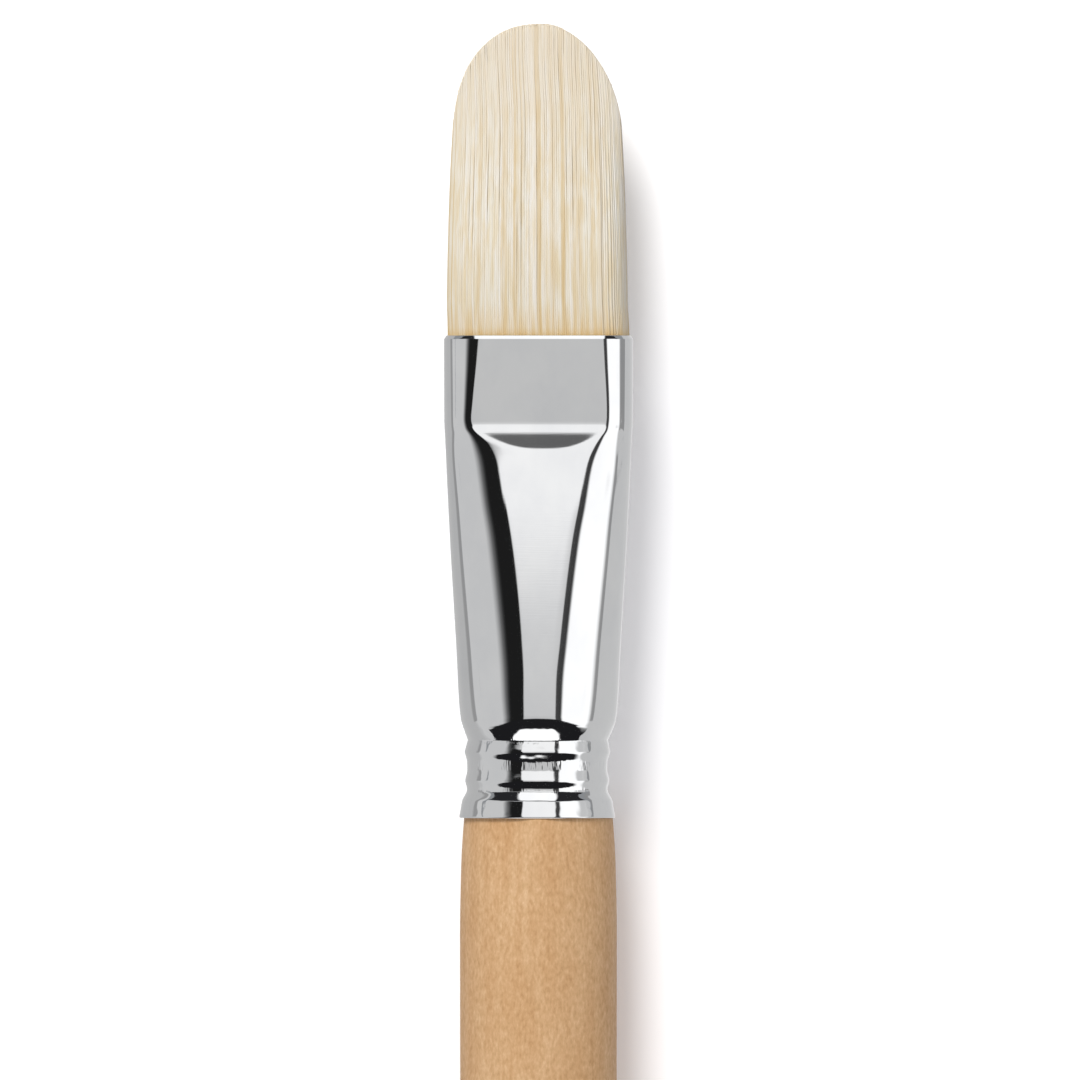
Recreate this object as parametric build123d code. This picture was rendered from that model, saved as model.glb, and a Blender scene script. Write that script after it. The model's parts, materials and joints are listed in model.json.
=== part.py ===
from build123d import *
import os

# A filbert artist's brush with a long handle, in millimetres, lying on a table.
# +Y runs from the tail of the handle to the tip of the bristles, +Z is up and square to the ferrule's
# flat land, and the origin is under the middle of the brush at table height.
# Places along the brush are distances from the ferrule's mouth, growing towards the tail.

OVERALL_LENGTH = 330.0
BRISTLE_OUT = 24.2  # bristle that shows, from the mouth to the tip
FERRULE_LENGTH = 37.5
FERRULE_WALL = 0.26
SLIDE_GAP = 0.05  # between a piece inside the ferrule and the ferrule
FLARE_RADIUS = 6.1  # the ferrule's open end, the thickest round of the brush

# The ferrule's outside: flat land, pressed step, V-shaped facet and shoulder. Each section is
# (distance from the mouth, half width, half height, half width of its flat).
LAND = (0.0, 7.34, 3.00, 4.95)
LAND_LENGTH = 7.4
STEP_END = (9.0, 7.22, 3.55, 3.75)
FACET = [
    STEP_END,
    (12.8, 7.04, 4.06, 2.60),
    (16.7, 6.84, 4.47, 1.97),
    (20.6, 6.61, 4.85, 1.60),
    (24.5, 6.38, 5.18, 1.33),
    (28.4, 6.18, 5.48, 1.10),
]
SHOULDER = [FACET[-1], (29.9, 6.02, 5.66, 0.95), (31.4, 5.47, 5.47, 0.04)]

# The rolled crimps behind the shoulder: (distance from the mouth, outer radius).
CRIMPS = [
    (31.4, 5.50),
    (32.45, 5.72),
    (33.45, 5.48),
    (34.55, 5.72),
    (35.3, 5.56),
    (36.3, 5.98),
    (37.2, FLARE_RADIUS),
    (FERRULE_LENGTH, FLARE_RADIUS - 0.01),
]

# Bristles. The roots stay still in the ferrule, and the tuft bends about a line across the roots.
HINGE_OUT = 2.6  # the bending line's distance outside the mouth
HINGE_RADIUS = 2.45
SEAT_GAP = 0.1  # between the round end of the tuft and the hollow seat in the roots
ROOT_OUT = 1.45  # how far the still roots stand out of the mouth
ROOT_END = 11.0
NECK_END = 12.8
BUTT_END = 14.4
NECK_DEPTH = 0.55  # the binding draws the roots in by this much
TUFT_HALF_WIDTH = 7.04
ARCH_HALF_WIDTH = 6.62  # the tuft's half width where its rounded top begins
ARCH_HEIGHT = 9.3
TUFT_BELLY = 2.62  # greatest half thickness, outside the ferrule
TUFT_FLAT = 4.6  # half width of the tuft's flat faces
TIP_HALF_THICKNESS = 0.75
BANK_GAP = 0.06  # between the two interlocked banks of bristles

THREAD_DIAMETER = 0.4
THREAD_TURNS = 4
THREAD_GAP = 0.06  # between the thread and the neck it is wound on
GLUE_START = 14.45
GLUE_END = 18.0

# Handle
TENON_START = 22.5
TENON_RADIUS = 4.5
TENON_CHAMFER = 0.5
HANDLE_GAP = 0.04  # between the crimped ferrule and the tenon
HANDLE_TOP_RADIUS = 5.80
GRIP_RADIUS = 6.0
GRIP_START, GRIP_END = 46.5, 59.5
TAPER = [(140.0, 4.95), (230.0, 3.50)]  # points on the long taper: (distance from the mouth, radius)
TAIL_RADIUS = 2.45
TAIL_NOSE = 2.3  # length of the rounded tail
HANDLE_GLUE_START, HANDLE_GLUE_END = 25.0, 30.5
HANDLE_GLUE_THICKNESS = 0.1

MOUTH_Y = OVERALL_LENGTH / 2 - BRISTLE_OUT
AXIS_Z = FLARE_RADIUS
TAIL = OVERALL_LENGTH - BRISTLE_OUT
QUARTER = 0.5523  # pull of a curve's handles that makes a quarter of an ellipse


def section(station, inset=0.0):
    """A flat-topped oval across the brush, smaller all round by inset."""
    distance, half_width, half_height, flat = station
    wide = half_width - inset
    high = half_height - inset
    flat_end = (flat, high)
    flat_pull = (flat + QUARTER * (wide - flat), high)
    side_pull = (wide, QUARTER * high)
    upper = [Line((0, high), flat_end), Bezier(flat_end, flat_pull, side_pull, (wide, 0))]
    right = upper + [mirror(edge, Plane.XZ) for edge in upper]
    outline = right + [mirror(edge, Plane.YZ) for edge in right]
    plane = Plane(origin=(0, MOUTH_Y - distance, AXIS_Z), x_dir=(1, 0, 0), z_dir=(0, -1, 0))
    return plane * make_face(outline)


def ferrule_inside(inset, front=0.0):
    """The ferrule's non-round body as a solid, inset all round, reaching front beyond the mouth."""
    land = extrude(section((-front, *LAND[1:]), inset), LAND_LENGTH + front, dir=(0, -1, 0))
    land_end = section((LAND_LENGTH, *LAND[1:]), inset)
    step = loft([land_end, section(STEP_END, inset)], ruled=True)
    facet = loft([section(station, inset) for station in FACET])
    shoulder = loft([section(station, inset) for station in SHOULDER])
    return land + step + facet + shoulder


def slab(start, end):
    """A block that keeps only what lies between two distances from the mouth."""
    middle = MOUTH_Y - (start + end) / 2
    return Pos(0, middle, AXIS_Z) * Box(60, end - start, 60)


def turned(edges):
    """A solid turned about the brush's long axis, from edges drawn as (radius, distance)."""
    plane = Plane(origin=(0, MOUTH_Y, AXIS_Z), x_dir=(1, 0, 0), z_dir=(0, 0, -1))
    axis = Axis((0, 0, AXIS_Z), (0, 1, 0))
    return revolve(plane * make_face(edges), axis)


def crimp_curve(inset):
    """The wavy outline of the rolled crimps, inset from the outside, as (radius, distance)."""
    return Spline(*[(radius - inset, distance) for distance, radius in CRIMPS])


def ferrule():
    """One seamless tube: flattened mouth, pressed facet, and three rolled grooves at its open end."""
    body = ferrule_inside(0) - ferrule_inside(FERRULE_WALL)
    outer = crimp_curve(0)
    inner = crimp_curve(FERRULE_WALL)
    front = Line(outer @ 0, inner @ 0)
    back = Line(inner @ 1, outer @ 1)
    return body + turned([outer, back, inner, front])


def across(distance, radius, length=60.0):
    """A round bar across the brush, parallel to X."""
    return Pos(0, MOUTH_Y - distance, AXIS_Z) * Rot(0, 90, 0) * Cylinder(radius, length)


def bristle_roots():
    """The still end of the bristles: the packed roots, with a neck where the thread is wound."""
    inset = FERRULE_WALL + SLIDE_GAP
    core = ferrule_inside(inset, ROOT_OUT)
    neck = ferrule_inside(inset + NECK_DEPTH) & slab(ROOT_END, NECK_END)
    packed = core & slab(-ROOT_OUT, ROOT_END)
    butts = core & slab(NECK_END, BUTT_END)
    return packed - across(-HINGE_OUT, HINGE_RADIUS + SEAT_GAP) + neck + butts


def facet_section(distance):
    """The ferrule's outside at a place between two of the facet's sections."""
    for low, high in zip(FACET, FACET[1:]):
        if low[0] <= distance <= high[0]:
            share = (distance - low[0]) / (high[0] - low[0])
            return tuple(a + share * (b - a) for a, b in zip(low, high))
    raise ValueError(distance)


def root_binding():
    """Turns of thread wound round the neck of the roots, each turn a closed ring."""
    pitch = (NECK_END - ROOT_END) / THREAD_TURNS
    half = THREAD_DIAMETER / 2
    outside = FERRULE_WALL + SLIDE_GAP + NECK_DEPTH - THREAD_DIAMETER - THREAD_GAP
    turns = []
    for turn in range(THREAD_TURNS):
        middle = ROOT_END + pitch * (turn + 0.5)
        station = facet_section(middle)
        outer = section((middle - half, *station[1:]), outside)
        inner = section((middle - half, *station[1:]), outside + THREAD_DIAMETER)
        turns.append(extrude(outer - inner, THREAD_DIAMETER, dir=(0, -1, 0)))
    return turns


def root_glue():
    """The hard plug of glue behind the butt ends of the bristles."""
    return ferrule_inside(FERRULE_WALL + SLIDE_GAP) & slab(GLUE_START, GLUE_END)


def tuft():
    """The bristles that show: a filbert arch, thinning to its tip, round where it bends."""
    arch_start = BRISTLE_OUT - ARCH_HEIGHT
    face_plane = Plane(origin=(0, MOUTH_Y, AXIS_Z), x_dir=(1, 0, 0), z_dir=(0, 0, 1))
    right = Line((TUFT_HALF_WIDTH, 0), (ARCH_HALF_WIDTH, arch_start))
    side_pull = (ARCH_HALF_WIDTH, arch_start + QUARTER * ARCH_HEIGHT)
    top_pull = (QUARTER * ARCH_HALF_WIDTH, BRISTLE_OUT)
    arch = Bezier(right @ 1, side_pull, top_pull, (0, BRISTLE_OUT))
    half = [right, arch]
    outline = half + [mirror(edge, Plane.YZ) for edge in half] + [Line((-TUFT_HALF_WIDTH, 0), right @ 0)]
    face = extrude(face_plane * make_face(outline), 10, both=True)

    side_plane = Plane(origin=(0, MOUTH_Y, AXIS_Z), x_dir=(0, 1, 0), z_dir=(1, 0, 0))
    nose = BRISTLE_OUT - TIP_HALF_THICKNESS
    belly = (0.35 * BRISTLE_OUT, TUFT_BELLY)
    thinning = (0.72 * BRISTLE_OUT, 0.72 * TUFT_BELLY)
    upper = Spline((HINGE_OUT, HINGE_RADIUS), belly, thinning, (nose, TIP_HALF_THICKNESS))
    lower = mirror(upper, Plane.XZ)
    tip = ThreePointArc((nose, TIP_HALF_THICKNESS), (BRISTLE_OUT, 0), (nose, -TIP_HALF_THICKNESS))
    low_side = (HINGE_OUT, -HINGE_RADIUS)
    bend = ThreePointArc((HINGE_OUT, HINGE_RADIUS), (HINGE_OUT - HINGE_RADIUS, 0), low_side)
    side = extrude(side_plane * make_face([upper, tip, lower, bend]), 10, both=True)

    oval = section((-BRISTLE_OUT, TUFT_HALF_WIDTH, TUFT_BELLY, TUFT_FLAT))
    return face & side & extrude(oval, BRISTLE_OUT, dir=(0, -1, 0))


def bristle_bank(side):
    """Half of the tuft: side is 1 for the bank that faces up, -1 for the bank that faces the table."""
    height = 2 * TUFT_BELLY
    middle = AXIS_Z + side * (height + BANK_GAP) / 2
    half = Pos(0, MOUTH_Y + BRISTLE_OUT / 2, middle) * Box(4 * TUFT_HALF_WIDTH, 2 * BRISTLE_OUT, height)
    return tuft() & half


def handle():
    """A turned wooden handle: tenon, crushed wood under the crimps, grip, long taper, round tail."""
    tenon = [(0, TENON_START), (TENON_RADIUS - TENON_CHAMFER, TENON_START)]
    tenon.append((TENON_RADIUS, TENON_START + TENON_CHAMFER))
    crimped = crimp_curve(FERRULE_WALL + HANDLE_GAP)
    shoulder = (HANDLE_TOP_RADIUS, FERRULE_LENGTH)
    swell = Spline(
        shoulder, (GRIP_RADIUS, GRIP_START), tangents=[(0.03, 1), (0, 1)], tangent_scalars=[1, 1]
    )
    grip = Line((GRIP_RADIUS, GRIP_START), (GRIP_RADIUS, GRIP_END))
    nose_start = TAIL - TAIL_NOSE
    taper_points = [(GRIP_RADIUS, GRIP_END), *[(r, d) for d, r in TAPER], (TAIL_RADIUS, nose_start)]
    taper = Spline(*taper_points, tangents=[(0, 1), (-0.014, 1)])
    nose = Spline((TAIL_RADIUS, nose_start), (0, TAIL), tangents=[(-0.014, 1), (-1, 0)])
    edges = [
        Polyline(*tenon, crimped @ 0),
        crimped,
        Line(crimped @ 1, shoulder),
        swell,
        grip,
        taper,
        nose,
        Line((0, TAIL), (0, TENON_START)),
    ]
    return turned(edges)


def handle_glue():
    """The film of glue on the tenon, in front of the crimps."""

    def tenon_at(distance):
        start = TENON_START + TENON_CHAMFER
        crimp_radius = CRIMPS[0][1] - FERRULE_WALL - HANDLE_GAP
        share = (distance - start) / (CRIMPS[0][0] - start)
        return TENON_RADIUS + share * (crimp_radius - TENON_RADIUS)

    front = tenon_at(HANDLE_GLUE_START)
    back = tenon_at(HANDLE_GLUE_END)
    film = [
        (front, HANDLE_GLUE_START),
        (front + HANDLE_GLUE_THICKNESS, HANDLE_GLUE_START),
        (back + HANDLE_GLUE_THICKNESS, HANDLE_GLUE_END),
        (back, HANDLE_GLUE_END),
    ]
    return turned([Polyline(*film, close=True)])


PARTS = {
    "ferrule": ferrule(),
    "handle": handle(),
    "handle_glue": handle_glue(),
    "bristle_roots": bristle_roots(),
    "root_binding": Compound(children=root_binding()),
    "root_glue": root_glue(),
    "front_bristles": bristle_bank(1),
    "back_bristles": bristle_bank(-1),
}

os.makedirs("parts", exist_ok=True)
for name, shape in PARTS.items():
    export_step(shape, f"parts/{name}.step")
    print(name, len(shape.solids()), round(shape.volume, 2))
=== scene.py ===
import json
import math

import bpy
import numpy as np
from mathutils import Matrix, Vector

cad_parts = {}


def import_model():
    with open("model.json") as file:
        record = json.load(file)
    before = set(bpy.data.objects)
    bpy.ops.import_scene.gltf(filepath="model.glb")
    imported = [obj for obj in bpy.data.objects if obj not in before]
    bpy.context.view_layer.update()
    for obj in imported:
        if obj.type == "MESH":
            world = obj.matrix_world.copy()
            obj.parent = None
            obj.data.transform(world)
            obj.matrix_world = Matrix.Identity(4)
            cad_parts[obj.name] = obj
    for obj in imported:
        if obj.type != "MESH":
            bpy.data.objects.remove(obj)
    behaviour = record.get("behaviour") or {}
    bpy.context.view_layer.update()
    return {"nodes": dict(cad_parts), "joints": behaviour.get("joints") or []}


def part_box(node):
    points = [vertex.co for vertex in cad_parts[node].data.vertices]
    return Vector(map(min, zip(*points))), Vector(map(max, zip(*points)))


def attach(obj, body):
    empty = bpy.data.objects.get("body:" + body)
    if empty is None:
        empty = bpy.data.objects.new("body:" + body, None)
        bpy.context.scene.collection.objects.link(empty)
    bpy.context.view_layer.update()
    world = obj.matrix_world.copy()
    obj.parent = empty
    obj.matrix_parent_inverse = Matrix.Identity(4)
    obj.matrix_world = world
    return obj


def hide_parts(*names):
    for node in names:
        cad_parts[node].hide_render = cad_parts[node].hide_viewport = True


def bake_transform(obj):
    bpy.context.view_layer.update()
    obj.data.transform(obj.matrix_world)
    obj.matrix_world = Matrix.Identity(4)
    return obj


# A filbert paint brush seen from straight above, on a white table.
# Sizes are in millimetres unless a comment says metres. "Distance" is measured along the brush
# from the ferrule's mouth towards the handle's tail, and "out" is the same the other way, from
# the mouth towards the tips of the bristles.

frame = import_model()

MM = 0.001
MOUTH_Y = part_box("ferrule")[1][1]
HINGE = frame["joints"][0]["pos_m"]
AXIS_Z = HINGE[2]

# ---------- sizes of the ferrule ----------

FERRULE_LENGTH = 37.5
WALL = 0.26

# Tables of (distance, value): half width, half width of the flat, the flat's offset to the
# right, and the power of the curve between the flat and the side, 2 being an ellipse.
HALF_WIDTH = [
    (0, 7.35), (6.6, 7.33), (8.2, 7.25), (10, 7.17), (12.8, 7.04), (16.7, 6.84),
    (20.6, 6.61), (24.5, 6.38), (28.4, 6.18), (29.9, 6.02), (30.8, 5.72), (31.5, 5.42),
]
FLAT_HALF = [
    (0, 4.63), (2.2, 4.80), (4.8, 5.03), (6.4, 5.12), (7.2, 4.98), (8.0, 4.45), (8.6, 4.03),
    (9.6, 3.51), (11, 3.03), (12.8, 2.58), (14.4, 2.28), (17.5, 1.81), (20.6, 1.45),
    (23.7, 1.17), (27, 0.95), (37.5, 0.95),
]
FLAT_SHIFT = [
    (0, 0.20), (3, 0.13), (5.4, 0.04), (6.6, -0.06), (8.6, 0.39), (11, 0.23), (14.4, 0.16),
    (20.6, 0.09), (23.7, 0.04), (28, -0.06), (37.5, 0),
]
SIDE_POWER = [(0, 2.0), (10, 2.0), (16, 1.85), (37.5, 1.85)]
FLAT_SHARE = 0.30  # share of an outline's points that lie on the flat

LAND_HALF_HEIGHT = 3.0
STEP_START, STEP_END = 7.13, 8.92
STEP_SLOPE, STEP_ROUNDING = 0.31, 0.27
STEP_HALF = 4.9  # the step runs out to nothing about this far to each side
STEP_FADE = (9.0, 14.0)  # distances over which that stops mattering
FACET_SLOPE, FACET_CURVE, FACET_ROUNDING = 0.127, 0.00140, 0.10
FACET_END = 29.65
FOLD_SAG, FOLD_HALF = 0.45, 4.3  # the fold behind the facet sags this much, this far from its middle
SHOULDER_POWER = 1.74

# The rolled end: (distance, radius) with straight runs between rounded corners, and how much
# flatter than round it is, as (distance, height taken off).
CRIMP_START = 31.5
CRIMP_LEAN, LEAN_RUN = 0.10, (30.0, 33.0)  # it stands this much to the left of the mouth
CRIMP_ROUNDING = 0.05
LIP_START = 37.42
CRIMPS = [
    (CRIMP_START, 5.46), (32.4, 5.67), (33.02, 5.46), (33.85, 5.44), (34.62, 5.62), (35.17, 5.46),
    (35.45, 5.47), (36.1, 5.83), (LIP_START, 6.06),
]
CRIMP_SQUEEZE = [(CRIMP_START, 0.50), (35.4, 0.50), (36.1, 0.44), (37.5, 0.42)]

# ---------- sizes of the handle ----------

TENON_START = 22.5
BELLY, BELLY_RADIUS = 100, 5.62  # where the handle rests on the table, besides its tail
TAIL_START, TAIL_RADIUS = 303.5, 2.45
TAIL_ROUND = 2.3  # length of the rounded end
HANDLE_RADIUS = [
    (TENON_START, 3.95), (22.6, 4.12), (23.0, 4.5), (31.3, 5.0), (37.6, 5.79), (41, 6.00),
    (46.5, 6.10), (56, 6.09), (BELLY, BELLY_RADIUS), (140, 4.95), (185, 4.2), (230, 3.5), (275, 2.82),
    (TAIL_START, TAIL_RADIUS),
]
HANDLE_SQUASH, SQUASH_RUN = 0.045, (37.3, 50)  # flatter than round where the ferrule holds it
CRUSHED_RUN = (31.4, 37.35)  # where the wood has taken the shape of the crimps
WOOD_GAP = 0.04  # between that wood and the ferrule

# ---------- sizes of the tuft ----------

BRISTLE_OUT = 24.2
ARCH_HALF, ARCH_HEIGHT = 6.60, 9.3
ARCH_POWER = 2.12  # 2 being an ellipse
LONGEST_EXTRA, LONGEST_X, LONGEST_HALF = 0.12, 1.5, 1.2  # the arch's slight peak, right of its middle
TUFT_HALF_WIDTH, TUFT_HALF_HEIGHT, TUFT_FLAT = 6.95, 2.60, 4.7
THINNING, SWELL = 0.80, 0.06  # the tuft thins towards its end, after a slight belly
SIDE_CURL = 0.10  # share by which the outermost bristles curl in towards the arch
TUFT_LEANS = [(0, 3, -0.10), (16.5, 22, -0.19)]  # (from, to, shift to the right)
ROOT_SPACING, ROOT_DEPTH = 0.155, 1.6
ROW_SHARE, ROOT_JITTER = 0.866, 0.06  # of the spacing: between packed rows, and at random
SHORT_SPREAD, INNER_SHARE, INNER_SHORT = 0.05, 0.35, 4.0  # how much shorter some bristles are
BRISTLE_RADIUS, BRISTLE_TAPER = (0.118, 0.138), 0.32  # at the root, and the share lost on the way
TIP_RUN, TIP_POINT = 0.5, 0.03  # the last stretch thins faster, and ends in a blunt point
WAVE_X, WAVE_Z = 0.020, 0.008  # how far bristles stray in smooth waves
WANDER = 0.0018  # how far they stray sideways for each millimetre out
SIDE_PAINTED_LIGHT, OWN_TONE = 0.7, 0.8  # how much paler the right edge is and darker the left, painted light and shade that evens out the lamp from the left; and a bristle's own share
SEED = 14
ROOT_GAP, NECK_DEPTH = 0.06, 0.55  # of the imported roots, inside the ferrule
FLUTE_DEPTH = 0.006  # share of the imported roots' size


# ---------- shapes ----------

def curve_through(points):
    """A smooth curve through (place, value) points that never overshoots them."""
    at = np.array([p[0] for p in points], float)
    value = np.array([p[1] for p in points], float)
    step = np.diff(at)
    slope = np.diff(value) / step
    tangent = np.zeros_like(value)
    for i in range(1, len(at) - 1):
        if slope[i - 1] * slope[i] > 0:
            a, b = 2 * step[i] + step[i - 1], step[i] + 2 * step[i - 1]
            tangent[i] = (a + b) / (a / slope[i - 1] + b / slope[i])
    tangent[0], tangent[-1] = slope[0], slope[-1]

    def curve(x):
        x = np.clip(np.asarray(x, float), at[0], at[-1])
        i = np.clip(np.searchsorted(at, x, side="right") - 1, 0, len(at) - 2)
        t = (x - at[i]) / step[i]
        return (
            (1 + 2 * t) * (1 - t) ** 2 * value[i]
            + t * (1 - t) ** 2 * step[i] * tangent[i]
            + t * t * (3 - 2 * t) * value[i + 1]
            + t * t * (t - 1) * step[i] * tangent[i + 1]
        )

    return curve


def rounded_corner(x, corner, softness):
    """0 before a corner and a straight rise of 1 in 1 after it, with the corner rounded."""
    return softness * np.logaddexp(0, (np.asarray(x, float) - corner) / softness)


def bent_line(points, softness):
    """Straight runs through (place, value) points, with rounded corners."""
    at = np.array([p[0] for p in points], float)
    value = np.array([p[1] for p in points], float)
    slope = np.diff(value) / np.diff(at)

    def curve(x):
        out = value[0] + slope[0] * (np.asarray(x, float) - at[0])
        for corner, turn in zip(at[1:-1], np.diff(slope)):
            out = out + turn * rounded_corner(x, corner, softness)
        return out

    return curve


half_width = curve_through(HALF_WIDTH)
flat_half = curve_through(FLAT_HALF)
flat_shift = curve_through(FLAT_SHIFT)
side_power = curve_through(SIDE_POWER)
crimp_radius = bent_line(CRIMPS, CRIMP_ROUNDING)
crimp_squeeze = curve_through(CRIMP_SQUEEZE)


def smoothstep(low, high, x):
    """0 below low and 1 above high, with a smooth rise between."""
    t = np.clip((np.asarray(x, float) - low) / (high - low), 0, 1)
    return t * t * (3 - 2 * t)


def facet_height(d, x):
    """Height of the land, the pressed step, which is shorter at its sides, and the facet."""
    at_sides = 1 - np.exp(-1.2 * np.abs(x / STEP_HALF) ** 3)
    shorter = at_sides * (1 - smoothstep(*STEP_FADE, d))
    step_end = STEP_END - (STEP_END - STEP_START) * shorter
    rise = STEP_SLOPE * rounded_corner(d, STEP_START, STEP_ROUNDING)
    ease = (STEP_SLOPE - FACET_SLOPE) * rounded_corner(d, step_end, FACET_ROUNDING)
    return LAND_HALF_HEIGHT + rise - ease - FACET_CURVE * np.clip(d - STEP_END, 0, None) ** 2


def half_height(distance, x=0.0):
    """Height of the ferrule's top above its axis, from the land to the flare."""
    d = np.asarray(distance, float)
    fold = FACET_END + FOLD_SAG * np.clip(np.abs(x) / FOLD_HALF, 0, 1.2) ** 2
    top = facet_height(fold, x)
    foot = crimp_radius(CRIMP_START) - crimp_squeeze(CRIMP_START)
    t = np.clip((d - fold) / (CRIMP_START - fold), 0, 1)
    shoulder = top + (foot - top) * t**SHOULDER_POWER
    crimped = crimp_radius(d) - crimp_squeeze(d)
    return np.where(d < fold, facet_height(d, x), np.where(d < CRIMP_START, shoulder, crimped))


def place(x, distance, z):
    """Brush coordinates in millimetres to frame coordinates in metres."""
    return np.stack([x * MM, MOUTH_Y - distance * MM, AXIS_Z + z * MM], axis=-1)


def make_mesh(name, vertices, faces, slots=None):
    """A smooth-shaded mesh object; faces is an array of quads or a list of arrays."""
    groups = faces if isinstance(faces, list) else [faces]
    mesh = bpy.data.meshes.new(name)
    loops = np.concatenate([g.ravel() for g in groups])
    sizes = np.concatenate([np.full(len(g), g.shape[1]) for g in groups])
    mesh.vertices.add(len(vertices))
    mesh.vertices.foreach_set("co", np.asarray(vertices, np.float32).ravel())
    mesh.loops.add(len(loops))
    mesh.loops.foreach_set("vertex_index", loops.astype(np.int32))
    mesh.polygons.add(len(sizes))
    starts = np.concatenate([[0], np.cumsum(sizes)[:-1]]).astype(np.int32)
    mesh.polygons.foreach_set("loop_start", starts)
    mesh.polygons.foreach_set("use_smooth", np.ones(len(sizes), bool))
    if slots is not None:
        mesh.polygons.foreach_set("material_index", slots.astype(np.int32))
    mesh.update(calc_edges=True)
    mesh.validate()
    obj = bpy.data.objects.new(name, mesh)
    bpy.context.scene.collection.objects.link(obj)
    return obj


def wrapped_grid(rows, columns, loop_rows=False):
    """Quads over a grid of vertices whose columns go round, and whose rows may too."""
    r = np.arange(rows if loop_rows else rows - 1)
    c = np.arange(columns)
    rr, cc = np.meshgrid(r, c, indexing="ij")
    up, right = (rr + 1) % rows, (cc + 1) % columns
    quads = np.stack(
        [rr * columns + cc, rr * columns + right, up * columns + right, up * columns + cc], -1
    )
    return quads.reshape(-1, 4)


def mirrored(x, z):
    """A whole outline from its upper right quarter, which runs from the top to the side."""
    half_x = np.concatenate([x, x[..., -2:0:-1]], -1)
    half_z = np.concatenate([z, -z[..., -2:0:-1]], -1)
    return (
        np.concatenate([half_x, -half_x], -1),
        np.concatenate([half_z, -half_z], -1),
    )


def ferrule_section(distance, inset, steps):
    """The ferrule's outline at each distance, moved in by inset; steps is for a quarter of it."""
    d = np.asarray(distance, float)[:, None]
    inset = np.asarray(inset, float)
    inset = inset[:, None] if inset.ndim else inset
    wide = np.where(d >= CRIMP_START, crimp_radius(d), half_width(d)) - inset
    flat = flat_half(d)
    column = np.linspace(0, 1, steps)
    a = np.clip((column - FLAT_SHARE) / (1 - FLAT_SHARE), 0, 1) * math.pi / 2
    along = np.clip(column / FLAT_SHARE, 0, 1)
    power = 2 / side_power(d)
    x = along * flat + (wide - flat) * np.sin(a) ** power
    high = half_height(d, x) - inset
    x, z = mirrored(x, high * np.cos(a) ** power)
    shift = flat_shift(d) * (1 - (x / wide) ** 2) - CRIMP_LEAN * smoothstep(*LEAN_RUN, d)
    return x + shift, z


def ferrule_shell():
    """Outside, rolled rim at the mouth, inside and the lip at the flare, as one closed skin.

    The rows of points are closer together where the outside bends more.
    """
    steps = 58
    outside = np.concatenate([
        np.linspace(LIP_START, 31.0, 108, endpoint=False),
        np.linspace(31.0, 29.4, 20, endpoint=False),
        np.linspace(29.4, 10.5, 46, endpoint=False),
        np.linspace(10.5, 6.2, 50, endpoint=False),
        np.linspace(6.2, 0.30, 14),
    ])
    rim = np.array([0.285, 0.27, 0.20, 0.13, 0.06, 0.02, 0.0, 0.0, 0.03])
    rim_inset = np.array([0.0, 0.006, 0.05, 0.095, 0.14, 0.17, 0.20, 0.235, 0.258])
    inside = np.concatenate([np.linspace(0.16, 10, 14), np.linspace(10.7, 37.35, 44)])
    lip = np.full(3, FERRULE_LENGTH)
    lip_inset = WALL * np.array([0.8, 0.5, 0.2])
    distance = np.concatenate([outside, rim, inside, lip])
    inset = np.concatenate([0 * outside, rim_inset, 0 * inside + WALL, lip_inset])
    x, z = ferrule_section(distance, inset, steps)
    vertices = place(x, distance[:, None] + 0 * x, z).reshape(-1, 3)
    rows, columns = x.shape
    return make_mesh("ferrule_shell", vertices, wrapped_grid(rows, columns, True)[:, ::-1])


def capped(name, x, distance, z, columns):
    """A closed skin over rows of outline points, with a point on the axis at each end."""
    ring = place(x, distance[:, None] + 0 * x, z).reshape(-1, 3)
    ends = place(np.zeros(2), distance[[0, -1]], np.zeros(2))
    rows = len(distance)
    c = np.arange(columns)
    n = (c + 1) % columns
    base = (rows - 1) * columns
    front = np.stack([n, c, np.full(columns, len(ring))], -1)
    back = np.stack([base + c, base + n, np.full(columns, len(ring) + 1)], -1)
    return make_mesh(name, np.concatenate([ring, ends]), [wrapped_grid(rows, columns), front, back])


def handle_shell():
    """The turned wooden handle: tenon, wood crushed by the crimps, grip, long taper, round tail."""
    steps = 30
    tenon = np.concatenate([[TENON_START, 22.6, 22.8, 23.0], np.linspace(24, 31.2, 10)])
    crushed = np.linspace(31.55, 37.3, 34)
    grip = np.linspace(LIP_START, 60, 70)
    taper = np.linspace(62, TAIL_START, 150)
    round_end = np.linspace(0.1, math.pi / 2 - 0.02, 16)
    tail = TAIL_START + TAIL_ROUND * np.sin(round_end)
    distance = np.concatenate([tenon, crushed, grip, taper, tail])
    size = curve_through(HANDLE_RADIUS)(distance)
    size[-len(round_end):] = TAIL_RADIUS * np.cos(round_end) ** 0.9
    a = np.linspace(0, math.pi / 2, steps)
    squash = 1 - HANDLE_SQUASH * (1 - smoothstep(*SQUASH_RUN, distance))
    turned_x, turned_z = mirrored(size[:, None] * np.sin(a), (size * squash)[:, None] * np.cos(a))
    squeezed_x, squeezed_z = ferrule_section(distance, WALL + WOOD_GAP, steps)
    in_crimps = ((distance > CRUSHED_RUN[0]) & (distance < CRUSHED_RUN[1]))[:, None]
    x = np.where(in_crimps, squeezed_x, turned_x)
    z = np.where(in_crimps, squeezed_z, turned_z)
    return capped("handle_turned", x, distance, z, x.shape[1])


# ---------- bristles ----------

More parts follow.
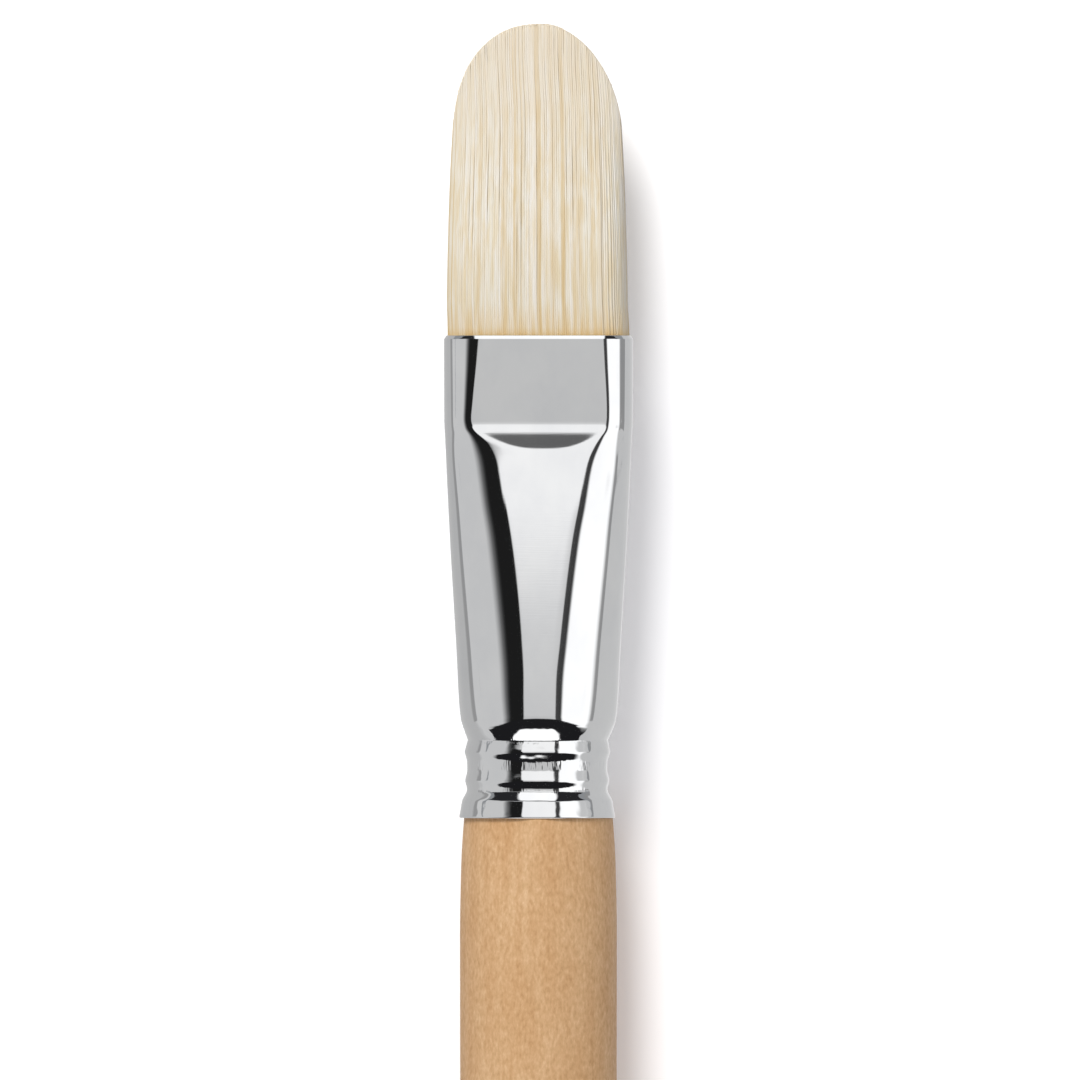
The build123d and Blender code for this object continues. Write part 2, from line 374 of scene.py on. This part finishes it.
def root_places(spacing, random):
    """Close-packed bristle roots over the mouth's flat oval: (x, z), and a tone shared by pairs."""
    places, tones = [], []
    rows = int(2 * TUFT_HALF_HEIGHT / (spacing * ROW_SHARE)) + 1
    for row, z in enumerate(np.linspace(-1, 1, rows) * (TUFT_HALF_HEIGHT - 0.02)):
        side = math.sqrt(1 - (z / TUFT_HALF_HEIGHT) ** 2)
        reach = TUFT_FLAT + (TUFT_HALF_WIDTH - TUFT_FLAT) * side
        count = int(2 * reach / spacing) + row % 2
        x = np.linspace(-reach, reach, count)
        places.append(np.stack([x, np.full(count, z)], -1))
        clumps = random.normal(0, 1, count // 2 + 1)
        tones.append(np.repeat(clumps, 2)[:count])
    places = np.concatenate(places)
    return places + random.normal(0, spacing * ROOT_JITTER, places.shape), np.concatenate(tones)


def arch_end(x):
    """How far out the rounded top of the tuft lies at x."""
    share = np.clip(1 - np.abs(x / ARCH_HALF) ** ARCH_POWER, 0, 1)
    longest = LONGEST_EXTRA * np.exp(-(((x - LONGEST_X) / LONGEST_HALF) ** 2))
    return BRISTLE_OUT - ARCH_HEIGHT + ARCH_HEIGHT * share ** (1 / ARCH_POWER) + longest


def narrowing(out, side):
    """How much closer to the middle a bristle is at a distance out than at its root."""
    share = np.clip(out / (BRISTLE_OUT - ARCH_HEIGHT), 0, 1)
    straight = 1 - (1 - ARCH_HALF / TUFT_HALF_WIDTH) * share**1.8
    curl = SIDE_CURL * side**4 * np.clip((out - 12.0) / 12.0, 0, 1) ** 2
    return straight - curl


def bristles(random):
    """Every bristle's centre line (bristle, point, 3), radius (bristle, point) and tone."""
    roots, tone = root_places(ROOT_SPACING, random)
    count = len(roots)
    x0, z0 = roots[:, 0], roots[:, 1]
    side = np.abs(x0) / TUFT_HALF_WIDTH
    end = arch_end(x0)
    for _ in range(4):
        end = arch_end(x0 * narrowing(end, side))
    depth = np.clip(np.abs(z0) / TUFT_HALF_HEIGHT, 0, 1)
    shorter = np.abs(random.normal(0, SHORT_SPREAD, count))
    inner = random.random(count) < INNER_SHARE * (1 - depth)
    shorter += inner * random.random(count) * INNER_SHORT
    length = end - shorter
    t = np.append(np.linspace(0, 1, 16)[:-1] ** 1.25, [0.985, 1.0])
    out = -ROOT_DEPTH + (length + ROOT_DEPTH)[:, None] * t
    whole = np.clip(out / end[:, None], 0, 1)
    thinning = 1 - THINNING * smoothstep(0.12, 1.08, whole) ** 1.15
    swell = 1 + SWELL * np.sin(math.pi * np.clip(whole * 1.8, 0, 1))
    lean = sum(shift * smoothstep(start, end, out) for start, end, shift in TUFT_LEANS)
    phase = random.random((count, 4)) * 2 * math.pi
    drift = random.normal(0, 1, (count, 4))
    grow = np.clip((out - 0.5) / 8, 0, 1)
    wave_x = WAVE_X * drift[:, :1] * np.sin(out * 0.42 + phase[:, :1]) * grow
    wave_z = WAVE_Z * drift[:, 1:2] * np.sin(out * 0.37 + phase[:, 1:2]) * grow
    wander = WANDER * drift[:, 2:3] * np.clip(out, 0, None) * (1 - 0.6 * whole)
    free = 1 - side[:, None] ** 8
    x = x0[:, None] * narrowing(out, side[:, None]) + (wave_x + wander) * free + lean
    z = z0[:, None] * thinning * swell + wave_z
    radius = random.uniform(*BRISTLE_RADIUS, count)[:, None]
    taper = 1 - BRISTLE_TAPER * whole
    tip = np.clip((length[:, None] - out) / TIP_RUN, 0.25, 1) ** 0.6
    # Painted light and shade: bristles at the right edge get paler shades and those at the left edge
    # darker ones, to even out the lamp's light from the left.
    tone = tone + OWN_TONE * drift[:, 3] - SIDE_PAINTED_LIGHT * np.sign(x0) * side**6
    return np.stack([x, -out, z], -1), radius * taper * tip, tone


def strand_mesh(name, lines, radii, shades, sides=5):
    """Closed round strands along the given lines; shades picks each strand's material slot."""
    count, points, _ = lines.shape
    a = np.linspace(0, 2 * math.pi, sides, endpoint=False)
    ring_x = lines[:, :, None, 0] + radii[..., None] * np.cos(a)
    ring_z = lines[:, :, None, 2] + radii[..., None] * np.sin(a)
    ring_d = lines[:, :, None, 1] + 0 * ring_x
    rings = place(ring_x, ring_d, ring_z).reshape(count, points * sides, 3)
    ends = lines[:, [0, -1]]
    tips = place(ends[..., 0], ends[..., 1] - np.array([0, TIP_POINT]), ends[..., 2])
    vertices = np.concatenate([rings, tips], 1)
    per = points * sides + 2
    quads = wrapped_grid(points, sides)[:, ::-1]
    c = np.arange(sides)
    n = (c + 1) % sides
    root_cap = np.stack([c, n, np.full(sides, points * sides)], -1)
    base = (points - 1) * sides
    tip_cap = np.stack([base + n, base + c, np.full(sides, points * sides + 1)], -1)
    shift = (np.arange(count) * per)[:, None, None]
    groups = [(g[None] + shift).reshape(-1, g.shape[1]) for g in (quads, root_cap, tip_cap)]
    slots = np.concatenate([np.repeat(shades, len(g)) for g in (quads, root_cap, tip_cap)])
    return make_mesh(name, vertices.reshape(-1, 3), groups, slots)


def root_bundle():
    """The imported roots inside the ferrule, with the neck that the thread is wound round."""
    front, butts = [(1.0, 0.5), (1.05, 0.1)], [(14.3, 0.05), (14.4, 0.4)]
    packed = [(distance, 0) for distance in (2, 4, 6, 7.4, 8, 8.6, 9.2, 10.2, 10.9)]
    neck = [(11.1, NECK_DEPTH), (12.7, NECK_DEPTH), (12.9, 0), (13.6, 0)]
    distance, deep = np.array(front + packed + neck + butts, float).T
    x, z = ferrule_section(distance, WALL + ROOT_GAP + deep, 60)
    flute = 1 - FLUTE_DEPTH * (1 + np.cos(np.arange(x.shape[1]) * 2.0))
    return capped("packed_roots", x * flute, distance, z * flute, x.shape[1])


# ---------- materials ----------

def new_material(name):
    """A material with its node tree and its Principled shader."""
    material = bpy.data.materials.new(name)
    material.use_nodes = True
    return material, material.node_tree, material.node_tree.nodes["Principled BSDF"]


def math_node(tree, operation, a, b=None):
    """Arithmetic on one or two values, each a socket or a number."""
    node = tree.nodes.new("ShaderNodeMath")
    node.operation = operation
    for socket, value in zip(node.inputs, (a, b)):
        if value is None:
            continue
        if isinstance(value, (int, float)):
            socket.default_value = value
        else:
            tree.links.new(value, socket)
    return node.outputs[0]


def ramp(tree, factor, stops):
    """A colour ramp; stops are (place, grey or colour)."""
    node = tree.nodes.new("ShaderNodeValToRGB")
    elements = node.color_ramp.elements
    while len(elements) > 1:
        elements.remove(elements[-1])
    for i, (at, colour) in enumerate(stops):
        element = elements[0] if i == 0 else elements.new(at)
        element.position = at
        element.color = (*colour, 1) if isinstance(colour, tuple) else (colour, colour, colour, 1)
    tree.links.new(factor, node.inputs[0])
    return node.outputs[0]


def noise(tree, scale_xyz, detail, roughness):
    """Noise over the object, with its own scale along each axis, in cycles per metre."""
    mapping = tree.nodes.new("ShaderNodeMapping")
    mapping.inputs["Scale"].default_value = scale_xyz
    on_object = tree.nodes.new("ShaderNodeTexCoord").outputs["Object"]
    tree.links.new(on_object, mapping.inputs["Vector"])
    node = tree.nodes.new("ShaderNodeTexNoise")
    node.inputs["Scale"].default_value = 1.0
    node.inputs["Detail"].default_value = detail
    node.inputs["Roughness"].default_value = roughness
    tree.links.new(mapping.outputs[0], node.inputs["Vector"])
    return node.outputs["Fac"]


def object_position(tree):
    """The shaded point's x, y and z on its own object, in metres."""
    split = tree.nodes.new("ShaderNodeSeparateXYZ")
    on_object = tree.nodes.new("ShaderNodeTexCoord").outputs["Object"]
    tree.links.new(on_object, split.inputs[0])
    return split.outputs


def mix_colour(tree, factor, a, b, blend="MIX"):
    """Colour a where the factor is 0, b where it is 1."""
    node = tree.nodes.new("ShaderNodeMix")
    node.data_type = "RGBA"
    node.blend_type = blend
    for socket, value in ((node.inputs[0], factor), (node.inputs[6], a), (node.inputs[7], b)):
        if isinstance(value, (int, float)):
            socket.default_value = value
        elif isinstance(value, tuple):
            socket.default_value = (*value, 1)
        else:
            tree.links.new(value, socket)
    return node.outputs[2]


def bump(tree, height, strength, distance, normal=None):
    """A bumped normal; distance is the bump's height in metres."""
    node = tree.nodes.new("ShaderNodeBump")
    node.inputs["Strength"].default_value = strength
    node.inputs["Distance"].default_value = distance
    tree.links.new(height, node.inputs["Height"])
    if normal is not None:
        tree.links.new(normal, node.inputs["Normal"])
    return node.outputs[0]


def srgb(*values):
    """Linear colour from 0 to 255 display values."""
    out = []
    for v in values:
        v /= 255
        out.append(v / 12.92 if v <= 0.04045 else ((v + 0.055) / 1.055) ** 2.4)
    return tuple(out)


# Heights of the bumps, in metres.
SCRATCH_HEIGHT, WHEEL_MARK_HEIGHT, DENT_HEIGHT = 0.000020, 0.000022, 0.000034
FLECK_HEIGHT, PLAIN_HEIGHT = 0.000030, 0.000040

METAL_SHADES = [(0.35, (0.600, 0.605, 0.615)), (0.65, (0.635, 0.638, 0.642))]
METAL_ROUGHNESS = [(0.3, 0.035), (0.7, 0.075)]
WHEEL_RUNS = ((31.4, 31.62), (33.1, 33.75), (35.2, 35.42))  # where the crimping wheels rolled
DENTED_RUN = (30.4, 37.2)
RUN_EDGE = 0.08


def metal_material():
    """Bright plating, with faint scratches round it and marks and dents in the crimps."""
    material, tree, shader = new_material("plated_ferrule")
    shader.inputs["Metallic"].default_value = 1.0
    smudge = noise(tree, (260, 180, 260), 3, 0.6)
    tree.links.new(ramp(tree, smudge, METAL_SHADES), shader.inputs["Base Color"])
    haze = noise(tree, (900, 500, 900), 4, 0.65)
    tree.links.new(ramp(tree, haze, METAL_ROUGHNESS), shader.inputs["Roughness"])
    distance = math_node(tree, "SUBTRACT", float(MOUTH_Y), object_position(tree)[1])
    share = math_node(tree, "DIVIDE", distance, FERRULE_LENGTH * MM)

    def along_runs(*runs):
        """1 along the given runs of distance, 0 elsewhere."""
        stops = [(0.0, 0.0)]
        for start, end in runs:
            edges = ((start - RUN_EDGE, 0.0), (start, 1.0), (end, 1.0), (end + RUN_EDGE, 0.0))
            stops += [(at / FERRULE_LENGTH, level) for at, level in edges]
        return ramp(tree, share, stops)

    def relief(pattern, *runs):
        """A noise pattern's height about its mean, along the given runs only."""
        about_mean = math_node(tree, "SUBTRACT", pattern, 0.5)
        return math_node(tree, "MULTIPLY", about_mean, along_runs(*runs))

    scratches = noise(tree, (350, 16000, 350), 2, 0.6)
    normal = bump(tree, scratches, 0.035, SCRATCH_HEIGHT)
    wheel_marks = relief(noise(tree, (5200, 900, 5200), 1, 0.5), *WHEEL_RUNS)
    normal = bump(tree, wheel_marks, 1.0, WHEEL_MARK_HEIGHT, normal)
    dents = relief(noise(tree, (900, 900, 900), 1, 0.5), DENTED_RUN)
    normal = bump(tree, dents, 1.0, DENT_HEIGHT, normal)
    tree.links.new(normal, shader.inputs["Normal"])
    return material


def wood_material():
    """Bare pale hardwood: fine flecks, wide blotches and long streaks of grain."""
    material, tree, shader = new_material("bare_wood")
    fleck = noise(tree, (4400, 1900, 4400), 3, 0.62)
    blotch = noise(tree, (420, 130, 420), 3, 0.55)
    grain = noise(tree, (1500, 60, 1500), 2, 0.5)
    base = ramp(tree, fleck, [
        (0.26, srgb(200, 160, 115)), (0.45, srgb(215, 176, 131)),
        (0.56, srgb(221, 183, 140)), (0.76, srgb(234, 200, 157)),
    ])
    warm = ramp(tree, blotch, [(0.3, srgb(244, 236, 226)), (0.7, srgb(255, 255, 255))])
    streak = ramp(tree, grain, [(0.3, srgb(246, 241, 235)), (0.7, srgb(255, 255, 255))])
    colour = mix_colour(tree, 1.0, base, warm, "MULTIPLY")
    colour = mix_colour(tree, 1.0, colour, streak, "MULTIPLY")
    tree.links.new(colour, shader.inputs["Base Color"])
    rough = ramp(tree, fleck, [(0.3, 0.62), (0.7, 0.5)])
    tree.links.new(rough, shader.inputs["Roughness"])
    shader.inputs["Specular IOR Level"].default_value = 0.3
    tree.links.new(bump(tree, fleck, 0.35, FLECK_HEIGHT), shader.inputs["Normal"])
    return material


SHADES = [
    ("bristle_white", srgb(233, 229, 219)),
    ("bristle_ivory", srgb(230, 225, 211)),
    ("bristle_cream", srgb(228, 221, 205)),
    ("bristle_tan", srgb(225, 215, 194)),
    ("bristle_straw", srgb(218, 202, 170)),
]
SHADE_SHARES = [0.22, 0.26, 0.25, 0.19, 0.08]  # of the bristles, from the palest
# Painted shade: a darker, warmer tan at the roots, where the bristles go into the ferrule's mouth.
ROOT_PAINTED_SHADE = srgb(219, 196, 154)
MEAN_SHADE = srgb(228, 217, 197)
STREAK_TINT = (0.93, 0.84, 0.66)


def bristle_material(name, colour):
    """One shade of bristle: darker and warmer at its root, painted shade where it goes into the
    mouth, with faint streaks that fade towards its end.
    """
    material, tree, shader = new_material(name)
    out = math_node(tree, "SUBTRACT", object_position(tree)[1], float(MOUTH_Y))
    share = math_node(tree, "MULTIPLY", out, 1 / (BRISTLE_OUT * MM))
    body = ramp(tree, share, [
        (0.0, ROOT_PAINTED_SHADE),
        (0.025, tuple(0.6 * c + 0.4 * r for c, r in zip(colour, ROOT_PAINTED_SHADE))),
        (0.10, colour),
        (0.45, colour),
        (1.0, tuple(0.35 * c + 0.65 * m for c, m in zip(colour, MEAN_SHADE))),
    ])
    streaks = noise(tree, (3300, 190, 3300), 2, 0.5)
    streaked = mix_colour(tree, 1.0, body, STREAK_TINT, "MULTIPLY")
    fading = ramp(tree, share, [(0.0, 1.0), (0.30, 0.75), (0.90, 0.25)])
    amount = math_node(tree, "MULTIPLY", ramp(tree, streaks, [(0.38, 1.0), (0.62, 0.0)]), fading)
    tree.links.new(mix_colour(tree, amount, body, streaked), shader.inputs["Base Color"])
    shader.inputs["Roughness"].default_value = 0.42
    shader.inputs["Specular IOR Level"].default_value = 0.35
    return material


def plain_material(name, dark, light, scale, roughness):
    """A rough, mottled material for what lies hidden inside the ferrule."""
    material, tree, shader = new_material(name)
    pattern = noise(tree, scale, 3, 0.6)
    tree.links.new(ramp(tree, pattern, [(0.3, dark), (0.7, light)]), shader.inputs["Base Color"])
    shader.inputs["Roughness"].default_value = roughness
    tree.links.new(bump(tree, pattern, 0.3, PLAIN_HEIGHT), shader.inputs["Normal"])
    return material


def paint(obj, *materials):
    """Gives an object its materials; emptying a list that has none would reset its faces' slots."""
    if obj.data.materials:
        obj.data.materials.clear()
    for material in materials:
        obj.data.materials.append(material)


# ---------- the brush ----------

ferrule = ferrule_shell()
paint(ferrule, metal_material())
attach(ferrule, "brush")
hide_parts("ferrule")

handle = handle_shell()
paint(handle, wood_material())
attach(handle, "brush")
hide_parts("handle")

shade_materials = [bristle_material(name, colour) for name, colour in SHADES]

random = np.random.default_rng(SEED)
lines, radii, tone = bristles(random)
rank = np.argsort(np.argsort(tone)) / len(tone)
shades = np.searchsorted(np.cumsum(SHADE_SHARES)[:-1], rank)
height = lines[:, 4, 2]  # of each bristle's fifth point, about 3 mm out
upper = height > 0
outer = np.abs(height) > np.median(np.abs(height))
for name, chosen, node in (
    ("bristles_front_outer", upper & outer, "front_bristles"),
    ("bristles_front_inner", upper & ~outer, None),
    ("bristles_back_inner", ~upper & ~outer, None),
    ("bristles_back_outer", ~upper & outer, "back_bristles"),
):
    bank = strand_mesh(name, lines[chosen], radii[chosen], shades[chosen])
    paint(bank, *shade_materials)
    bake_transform(bank)
    if node:
        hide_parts(node)

roots = root_bundle()
root_brown, root_straw = srgb(120, 92, 58), srgb(196, 166, 118)
paint(roots, plain_material("bristle_root", root_brown, root_straw, (3000, 120, 3000), 0.7))
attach(roots, "brush")
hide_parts("bristle_roots")

glue = plain_material("glue", srgb(110, 62, 18), srgb(176, 118, 44), (700, 700, 700), 0.3)
paint(frame["nodes"]["root_glue"], glue)
paint(frame["nodes"]["handle_glue"], glue)
paint(
    frame["nodes"]["root_binding"],
    plain_material("thread", srgb(196, 186, 164), srgb(236, 228, 208), (5000, 2000, 5000), 0.8),
)

# ---------- studio ----------

TABLE_REACH = 4.0  # metres
TABLE_GAP = 0.03  # under the handle's belly and tail, on which the brush rests
TABLE_SLOPE = (BELLY_RADIUS - TAIL_RADIUS) / (TAIL_START - BELLY)
TABLE_SPAN = 0.2  # metres of table over which its painted reflection greys change
TABLE_BOUNCE, TABLE_SEEN = 0.62, 1.3  # how white it is to the brush, and to the camera
# Painted reflection greys of the table, right of the ferrule's land and beyond the tip; SIDE_GREY is
# also a card's grey in the mirrored room.
SIDE_GREY = (0.42, 0.42, 0.42)
FAR_GREY = (0.40, 0.415, 0.43)

# Cards and lamps that only reflections show.
DARK = (0.018, 0.018, 0.02)
EDGE_DARK = (0.03, 0.03, 0.033)
PALE = (0.85, 0.85, 0.85)
BRIGHT = (1.7, 1.7, 1.7)
# The light on all else, from the horizon to straight above.
OVERHEAD = [(0.0, (0.26, 0.256, 0.265)), (1.0, (0.73, 0.72, 0.74))]
PAST_ALL = 2  # a direction's coordinates lie between -1 and 1

KEY_PLACE, KEY_AIM = (-0.28, 0.88, 0.73), (0, 0.12, 0)  # metres
KEY_SIZE, KEY_WATTS = 0.45, 8.2

VIEW_CENTRE, VIEW_WIDTH = (0.00012, 0.1249), 0.084  # metres
LENS, SENSOR = 800, 36


def painted_table_greys(tree):
    """Painted reflection: glowing greys that only reflections show of the table, in bands along the
    brush, standing in for its lit and shaded look.
    """
    x, y, _ = object_position(tree)
    across = math_node(tree, "ADD", math_node(tree, "MULTIPLY", x, 1 / TABLE_SPAN), 0.5)

    def at(millimetres):
        return 0.5 + millimetres * MM / TABLE_SPAN

    def past(coordinate, metres):
        return math_node(tree, "GREATER_THAN", coordinate, float(metres))

    # Painted reflection: greys of the table beside the brush, darker to its left and brighter to its
    # right, as reflections should show them.
    near_brush = [(at(-8), 0.66), (at(0), 0.80), (at(7), 0.94), (at(10), 0.80)]
    by_handle = ramp(tree, across, [(at(-42), 0.86), (at(-28), 0.68), *near_brush])
    by_ferrule = ramp(tree, across, [
        (at(-45), 0.86), (at(-41), 0.45), (at(-29), 0.45), (at(-25), 0.68), *near_brush,
    ])
    right_of_land = math_node(tree, "MULTIPLY", past(x, 36 * MM), past(y, MOUTH_Y - 11 * MM))
    grey = mix_colour(tree, past(y, MOUTH_Y - 34 * MM), by_handle, by_ferrule)
    grey = mix_colour(tree, right_of_land, grey, SIDE_GREY)
    return mix_colour(tree, past(y, MOUTH_Y + 14 * MM), grey, FAR_GREY)


def table_material():
    """White to the camera, half as white to the brush, and glowing with painted reflection greys that
    only reflections see.
    """
    material, tree, _ = new_material("table_white")
    tree.nodes.clear()

    def diffuse(white):
        node = tree.nodes.new("ShaderNodeBsdfDiffuse")
        node.inputs["Color"].default_value = (white, white, white, 1)
        return node.outputs[0]

    # Painted reflection: the greys glow, and only reflection rays see them.
    painted_reflection_grey = tree.nodes.new("ShaderNodeEmission")
    tree.links.new(painted_table_greys(tree), painted_reflection_grey.inputs["Color"])
    path = tree.nodes.new("ShaderNodeLightPath")
    surface = diffuse(TABLE_BOUNCE)
    for ray, other in (
        ("Is Camera Ray", diffuse(TABLE_SEEN)),
        ("Is Glossy Ray", painted_reflection_grey.outputs[0]),
    ):
        choice = tree.nodes.new("ShaderNodeMixShader")
        tree.links.new(path.outputs[ray], choice.inputs[0])
        tree.links.new(surface, choice.inputs[1])
        tree.links.new(other, choice.inputs[2])
        surface = choice.outputs[0]
    output = tree.nodes.new("ShaderNodeOutputMaterial")
    tree.links.new(surface, output.inputs["Surface"])
    return material


def floor():
    """The table: the brush rests on the belly and tail of its handle, with the ferrule just clear."""

    def height(y):
        behind_belly = (MOUTH_Y - BELLY * MM) - y
        return AXIS_Z - (BELLY_RADIUS + TABLE_GAP) * MM + behind_belly * TABLE_SLOPE

    corners = np.array([(-1, -1), (1, -1), (1, 1), (-1, 1)]) * TABLE_REACH
    vertices = np.array([(x, y, height(y)) for x, y in corners])
    table = make_mesh("table", vertices, np.array([[0, 1, 2, 3]]))
    paint(table, table_material())


def soft_step(tree, value, middle, soft, before, after):
    """From one level to another round a middle value."""
    node = tree.nodes.new("ShaderNodeMapRange")
    node.interpolation_type = "SMOOTHSTEP"
    node.inputs["From Min"].default_value = middle - soft
    node.inputs["From Max"].default_value = middle + soft
    node.inputs["To Min"].default_value = before
    node.inputs["To Max"].default_value = after
    tree.links.new(value, node.inputs["Value"])
    return node.outputs[0]


def window(tree, value, low, high, soft):
    """1 where a value lies between low and high, 0 outside, with soft edges."""
    rise = soft_step(tree, value, low, soft, 0, 1)
    fall = soft_step(tree, value, high, soft, 1, 0)
    return math_node(tree, "MULTIPLY", rise, fall)


def product(tree, first, *others):
    """All the given values multiplied together."""
    for other in others:
        first = math_node(tree, "MULTIPLY", first, other)
    return first


def oval(tree, x, y, centre, reach, soft):
    """1 inside an ellipse of directions, 0 outside."""
    squares = []
    for value, middle, half in zip((x, y), centre, reach):
        share = math_node(tree, "DIVIDE", math_node(tree, "SUBTRACT", value, middle), half)
        squares.append(math_node(tree, "POWER", share, 2.0))
    far = math_node(tree, "SQRT", math_node(tree, "ADD", *squares))
    return window(tree, far, -PAST_ALL, 1, soft)


def mirrored_room(tree, x, y, z):
    """What reflections show from a direction: cards and lamps in a pale room.

    Round the brush's length, "across" runs from left (-90 degrees) over the top to right (90).
    Towards the tip, where only surfaces that face it look, "along" takes its place.
    """
    angle = math_node(tree, "DIVIDE", math_node(tree, "ARCTAN2", x, z), 2 * math.pi)
    turn = math_node(tree, "ADD", angle, 0.5)

    def at(degrees):
        return 0.5 + degrees / 360

    def turned(low, high, soft):
        return window(tree, turn, at(low), at(high), soft)

    def tipward(low, soft):
        return window(tree, y, low, PAST_ALL, soft)

    across = ramp(tree, turn, [
        (at(-180), 0.86), (at(-52), 0.86), (at(-48), 0.62), (at(-42), 0.20), (at(-37), 0.05),
        (at(-34), 0.018), (at(-7), 0.018), (at(-4.5), 0.80), (at(13.5), 0.83), (at(15.5), 0.09),
        (at(26), 0.06), (at(30), 1.6), (at(78), 1.65), (at(84), 0.80), (at(180), 0.80),
    ])
    along = ramp(tree, math_node(tree, "ADD", math_node(tree, "MULTIPLY", y, 0.5), 0.5), [
        (0.0, 0.8), (0.535, 0.8), (0.585, 0.95), (0.612, 1.38), (0.737, 1.40), (0.762, 0.19),
        (0.807, 0.17), (0.83, 1.6), (1.0, 1.6),
    ])

    right_strip_end = product(tree, turned(67, 84, 0.014), tipward(0.07, 0.04))
    right_of_land = product(tree, turned(84, 102, 0.006), window(tree, y, -0.08, 0.06, 0.03))
    narrow_gap = product(tree, turned(-5, 14.5, 0.004), tipward(0.12, 0.03))
    wide_gap = product(tree, turned(-9.5, 17, 0.006), tipward(0.235, 0.015))
    beyond_tip = product(tree, tipward(0.46, 0.04), window(tree, x, -0.6, 0.6, 0.08))
    middle = window(tree, x, -0.24, 0.24, 0.04)
    beyond_edges = product(tree, tipward(0.50, 0.06), math_node(tree, "SUBTRACT", 1.0, middle))
    bowed = math_node(tree, "MULTIPLY", math_node(tree, "POWER", x, 2.0), 0.45)
    tailward = product(
        tree,
        window(tree, math_node(tree, "ADD", y, bowed), -PAST_ALL, -0.14, 0.03),
        window(tree, x, -0.93, 0.82, 0.05),
        window(tree, z, -0.05, PAST_ALL, 0.03),
    )
    tail_lamp = oval(tree, x, y, (-0.03, -0.98), (0.42, 0.36), 0.06)
    seen = across
    for card, colour in (
        (right_strip_end, PALE), (right_of_land, SIDE_GREY), (narrow_gap, along),
        (wide_gap, along), (beyond_tip, along), (beyond_edges, EDGE_DARK),
        (tailward, DARK), (tail_lamp, BRIGHT),
    ):
        seen = mix_colour(tree, card, seen, colour)
    return seen


def world():
    """White to the camera, a room of cards in reflections, and soft light from above to all else."""
    scene_world = bpy.data.worlds.new("studio")
    bpy.context.scene.world = scene_world
    scene_world.use_nodes = True
    scene_world.cycles.sampling_method = "NONE"
    tree = scene_world.node_tree
    split = tree.nodes.new("ShaderNodeSeparateXYZ")
    tree.links.new(tree.nodes.new("ShaderNodeTexCoord").outputs["Generated"], split.inputs[0])
    x, y, z = split.outputs
    path = tree.nodes.new("ShaderNodeLightPath")
    overhead = ramp(tree, z, OVERHEAD)
    light = mix_colour(tree, path.outputs["Is Glossy Ray"], overhead, mirrored_room(tree, x, y, z))
    light = mix_colour(tree, path.outputs["Is Camera Ray"], light, (1.0, 1.0, 1.0))
    tree.links.new(light, tree.nodes["Background"].inputs["Color"])


def key_light():
    """A soft lamp beyond the tip and to the left, which throws the shadow."""
    data = bpy.data.lights.new("key", "AREA")
    data.shape = "DISK"
    data.size = KEY_SIZE
    data.energy = KEY_WATTS
    lamp = bpy.data.objects.new("key", data)
    lamp.location = KEY_PLACE
    lamp.visible_glossy = False
    aim = Vector(KEY_AIM) - lamp.location
    lamp.rotation_euler = aim.to_track_quat("-Z", "Y").to_euler()
    bpy.context.scene.collection.objects.link(lamp)


def camera():
    """Straight above, and far enough away that the view is nearly without perspective."""
    data = bpy.data.cameras.new("camera")
    data.lens = LENS
    data.sensor_width = SENSOR
    data.clip_end = 100
    obj = bpy.data.objects.new("camera", data)
    obj.location = (*VIEW_CENTRE, AXIS_Z + VIEW_WIDTH * LENS / SENSOR)
    bpy.context.scene.collection.objects.link(obj)
    bpy.context.scene.camera = obj


floor()
world()
key_light()
camera()
bpy.context.scene.view_settings.view_transform = "Standard"
